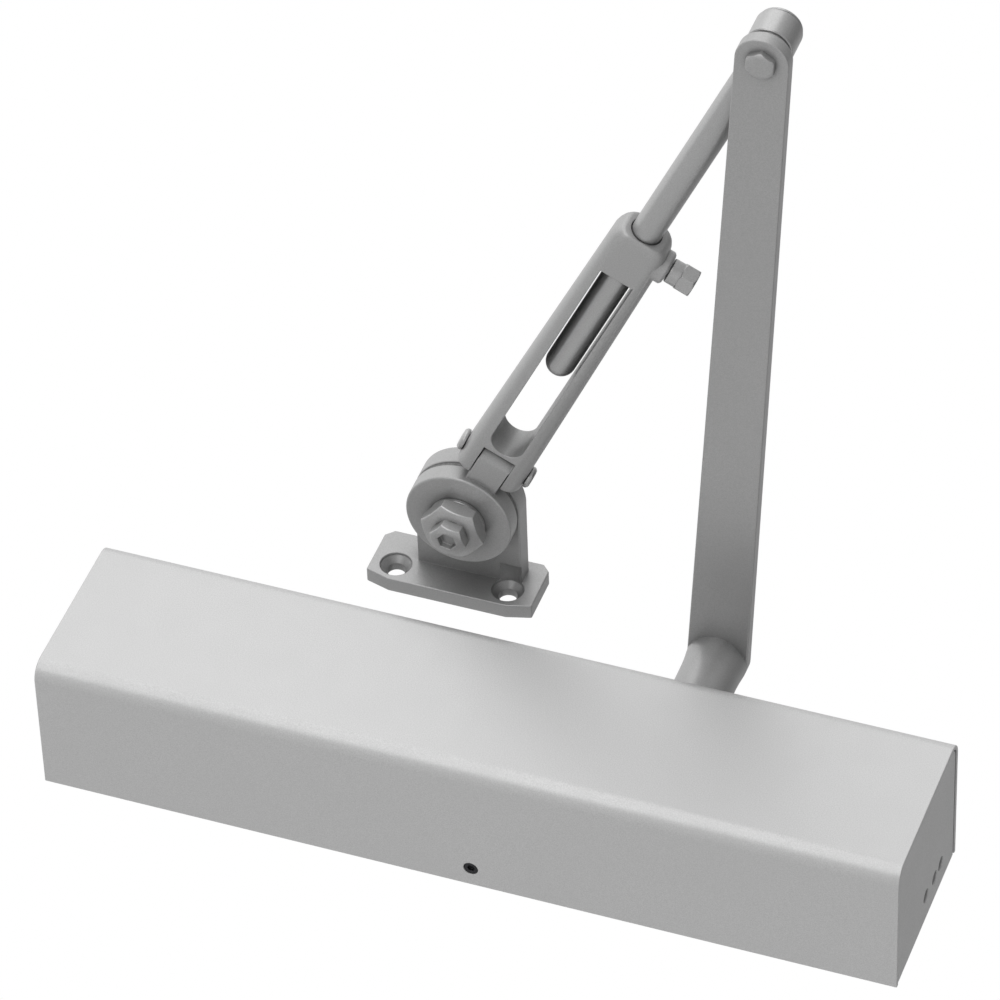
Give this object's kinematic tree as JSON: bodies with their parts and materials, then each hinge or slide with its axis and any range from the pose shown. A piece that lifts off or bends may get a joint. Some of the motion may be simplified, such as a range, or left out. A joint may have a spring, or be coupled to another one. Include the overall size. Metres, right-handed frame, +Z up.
{
  "type": "door closer",
  "caption": "Surface door closer with a boxed cover, rack-and-pinion body, regular arm, adjustable slotted forearm and friction hold-open shoe.",
  "frame": {"origin": "middle of the four body screws, on the door face", "axes": "+X along the door towards the valve end, +Y into the door, +Z up along the pinion"},
  "size_m": [0.311, 0.3087, 0.1273],
  "materials": {
    "cover_paint": "satin silver paint",
    "arm_paint": "satin silver-grey paint",
    "hardware": "satin silver-grey paint over steel",
    "casting": "as cast, tumbled",
    "machined_steel": "ground",
    "spring_steel": "oil tempered",
    "seal_rubber": "matte",
    "valve_brass": "machined",
    "friction_lining": "pressed fibre",
    "dark_screw": "black oxide"
  },
  "bodies": {
    "housing": {"body_casting": "casting", "end_plug": "machined_steel", "spring": "spring_steel", "upper_bearing": "machined_steel", "lower_bearing": "machined_steel", "upper_seal": "seal_rubber", "lower_seal": "seal_rubber", "upper_bearing_cap": "machined_steel", "lower_bearing_cap": "machined_steel", "cover": "cover_paint", "left_cover_end": "cover_paint", "right_cover_end": "cover_paint", "cover_screws": "dark_screw"},
    "adjuster": {"adjusting_screw": "machined_steel"},
    "seat": {"spring_seat": "machined_steel"},
    "closing_valve_body": {"closing_valve": "valve_brass"},
    "latching_valve_body": {"latching_valve": "valve_brass"},
    "backcheck_valve_body": {"backcheck_valve": "valve_brass"},
    "piston_body": {"piston": "machined_steel", "piston_seals": "seal_rubber", "check_valve": "valve_brass"},
    "arm": {"pinion": "machined_steel", "main_arm": "arm_paint", "arm_screw": "machined_steel", "arm_washer": "machined_steel", "elbow_bolt": "hardware", "elbow_cap": "hardware"},
    "rod": {"forearm_rod": "hardware"},
    "socket": {"forearm_socket": "arm_paint", "tilt_pin": "hardware"},
    "clamp": {"clamp_screw": "hardware"},
    "knuckle": {"hold_open_knuckle": "arm_paint"},
    "shoe_body": {"shoe": "arm_paint", "pivot_bolt": "hardware", "tension_nut": "hardware", "knuckle_washer": "hardware", "friction_disc": "friction_lining"}
  },
  "joints": [
    {"name": "pinion_turn", "type": "hinge", "parent": "housing", "child": "arm", "pos_m": [0.057, -0.027, 0], "axis": [0, 0, -1], "range_deg": [0, 150], "stiffness_Nm_per_rad": 3, "springref_deg": -57.3},
    {"name": "piston_slide", "type": "slide", "parent": "housing", "child": "piston_body", "axis": [-1, 0, 0], "range_m": [0, 0.0236], "deforming": ["spring"]},
    {"name": "adjuster_turn", "type": "hinge", "parent": "housing", "child": "adjuster", "pos_m": [-0.134, -0.027, 0], "axis": [1, 0, 0], "range_deg": [0, 1440]},
    {"name": "seat_slide", "type": "slide", "parent": "housing", "child": "seat", "axis": [1, 0, 0], "range_m": [0, 0.005]},
    {"name": "closing_valve_turn", "type": "hinge", "parent": "housing", "child": "closing_valve_body", "pos_m": [0.128, -0.011, 0], "axis": [1, 0, 0], "continuous": true},
    {"name": "latching_valve_turn", "type": "hinge", "parent": "housing", "child": "latching_valve_body", "pos_m": [0.128, -0.01, 0.01], "axis": [1, 0, 0], "continuous": true},
    {"name": "backcheck_valve_turn", "type": "hinge", "parent": "housing", "child": "backcheck_valve_body", "pos_m": [0.128, -0.01, 0.017], "axis": [1, 0, 0], "continuous": true},
    {"name": "elbow", "type": "hinge", "parent": "arm", "child": "rod", "pos_m": [0.07367, -0.29949, 0.08105], "axis": [0, 0, 1], "range_deg": [-4, 150]},
    {"name": "forearm_length", "type": "slide", "parent": "rod", "child": "socket", "axis": [-0.4305, 0.9026, 0], "range_m": [-0.03, 0.05]},
    {"name": "clamp_turn", "type": "hinge", "parent": "socket", "child": "clamp", "pos_m": [0.04213, -0.19156, 0.08105], "axis": [0.9026, 0.4305, 0], "continuous": true},
    {"name": "shoe_tilt", "type": "hinge", "parent": "socket", "child": "knuckle", "pos_m": [-0.02643, -0.08964, 0.08105], "axis": [0.9026, 0.4305, 0], "range_deg": [-7, 7]},
    {"name": "hold_open_pivot", "type": "hinge", "parent": "knuckle", "child": "shoe_body", "pos_m": [-0.03827, -0.06482, 0.08], "axis": [0, 0, 1], "range_deg": [-60, 110]}
  ],
  "couplings": [
    {"joint": "piston_slide", "follows": "pinion_turn", "m_per_rad": 0.009},
    {"joint": "adjuster_turn", "follows": "seat_slide", "rad_per_m": 5026.5}
  ]
}
